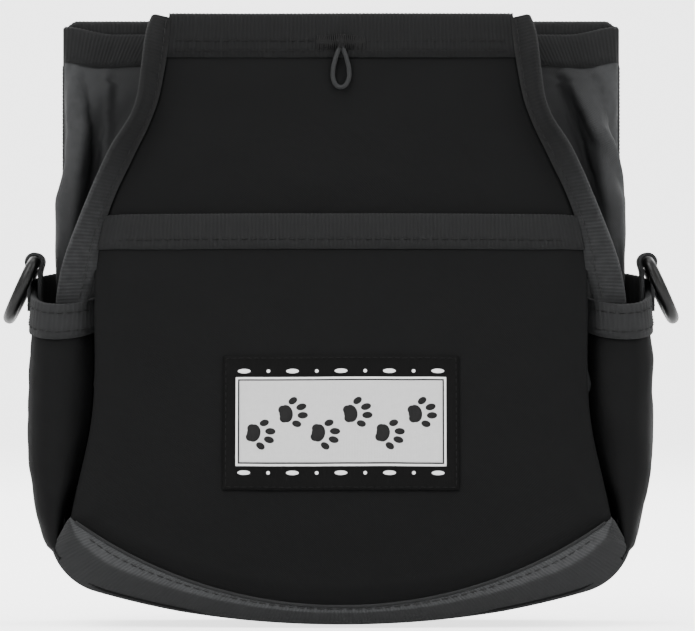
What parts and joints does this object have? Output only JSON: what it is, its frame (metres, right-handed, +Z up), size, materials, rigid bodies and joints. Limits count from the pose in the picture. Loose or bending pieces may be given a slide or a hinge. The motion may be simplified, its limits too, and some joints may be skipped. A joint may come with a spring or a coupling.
{
  "type": "treat pouch",
  "caption": "Belt-worn dog training treat pouch with a magnetic mouth, side and front pockets, D-rings, zipped rear pocket, belt loop and spring belt clip.",
  "frame": {"origin": "centre of the bounding box in X and Y, at the pouch's lowest point, as worn with the mouth closed", "axes": "+Z up, +Y towards the wearer's hip, +X to the right when the pouch's front is looked at; wearer's belt runs along X"},
  "size_m": [0.221, 0.08, 0.1994],
  "materials": {
    "nylon": "black coated nylon pack cloth",
    "lining": "black coated lining",
    "tape": "black ribbed grosgrain tape",
    "webbing": "black woven webbing",
    "label": "woven label, light grey field on black",
    "cord": "thin braided cord",
    "stiffener": "polyethylene board",
    "magnet": "bonded magnet bar",
    "ring_metal": "dark nickel plate",
    "zip_metal": "black enamel",
    "zip_coil": "black nylon coil",
    "spring_steel": "black coated spring steel"
  },
  "bodies": {
    "root": {"back_panel": "nylon", "back_stiffener": "stiffener", "back_lining": "lining", "back_magnets": "magnet", "back_top_binding": "tape", "back_seam_binding": "tape", "right_side_gusset": "nylon", "left_side_gusset": "nylon", "right_gusset_binding": "tape", "left_gusset_binding": "tape", "right_side_pocket": "nylon", "left_side_pocket": "nylon", "right_pocket_binding": "tape", "left_pocket_binding": "tape", "right_ring_tab": "webbing", "left_ring_tab": "webbing", "bottom_gusset": "nylon", "bottom_lining": "lining", "back_pocket_panel": "nylon", "back_pocket_facing": "nylon", "zip_tapes": "tape", "zip_coils": "zip_coil", "zip_stops": "zip_metal", "belt_loop": "webbing", "belt_clip_base": "spring_steel", "clip_rivets": "spring_steel"},
    "front_wall": {"front_panel": "nylon", "front_stiffener": "stiffener", "front_lining": "lining", "front_magnets": "magnet", "front_top_binding": "tape", "front_pocket_panel": "nylon", "front_pocket_binding": "tape", "left_seam_binding": "tape", "right_seam_binding": "tape", "bottom_seam_binding": "tape", "label": "label", "loop_stay": "webbing"},
    "left_ring": {"left_ring": "ring_metal"},
    "right_ring": {"right_ring": "ring_metal"},
    "zip_slider": {"zip_slider": "zip_metal"},
    "zip_pull": {"zip_pull": "zip_metal"},
    "belt_clip_arm": {"belt_clip_arm": "spring_steel"},
    "clicker_loop": {"clicker_loop": "cord"}
  },
  "joints": [
    {"name": "mouth_open", "type": "hinge", "parent": "root", "child": "front_wall", "pos_m": [0, -0.03647, 0.0007], "axis": [1, 0, 0], "range_deg": [0, 20]},
    {"name": "left_ring_swing", "type": "hinge", "parent": "root", "child": "left_ring", "pos_m": [-0.1, 0.00773, 0.1175], "axis": [0, 1, 0], "range_deg": [0, 150]},
    {"name": "right_ring_swing", "type": "hinge", "parent": "root", "child": "right_ring", "pos_m": [0.1, 0.00773, 0.1175], "axis": [0, -1, 0], "range_deg": [0, 150]},
    {"name": "zip_slide", "type": "slide", "parent": "root", "child": "zip_slider", "axis": [-1, 0, 0], "range_m": [0, 0.12]},
    {"name": "zip_pull_swing", "type": "hinge", "parent": "zip_slider", "child": "zip_pull", "pos_m": [0.062, 0.03003, 0.1527], "axis": [0, 0, -1], "range_deg": [0, 150]},
    {"name": "belt_clip_flex", "type": "hinge", "parent": "root", "child": "belt_clip_arm", "pos_m": [0, 0.03663, 0.1227], "axis": [1, 0, 0], "range_deg": [0, 8]},
    {"name": "clicker_loop_swing", "type": "hinge", "parent": "front_wall", "child": "clicker_loop", "pos_m": [0, 0.00523, 0.18919], "axis": [-1, 0, 0], "range_deg": [0, 90]}
  ]
}
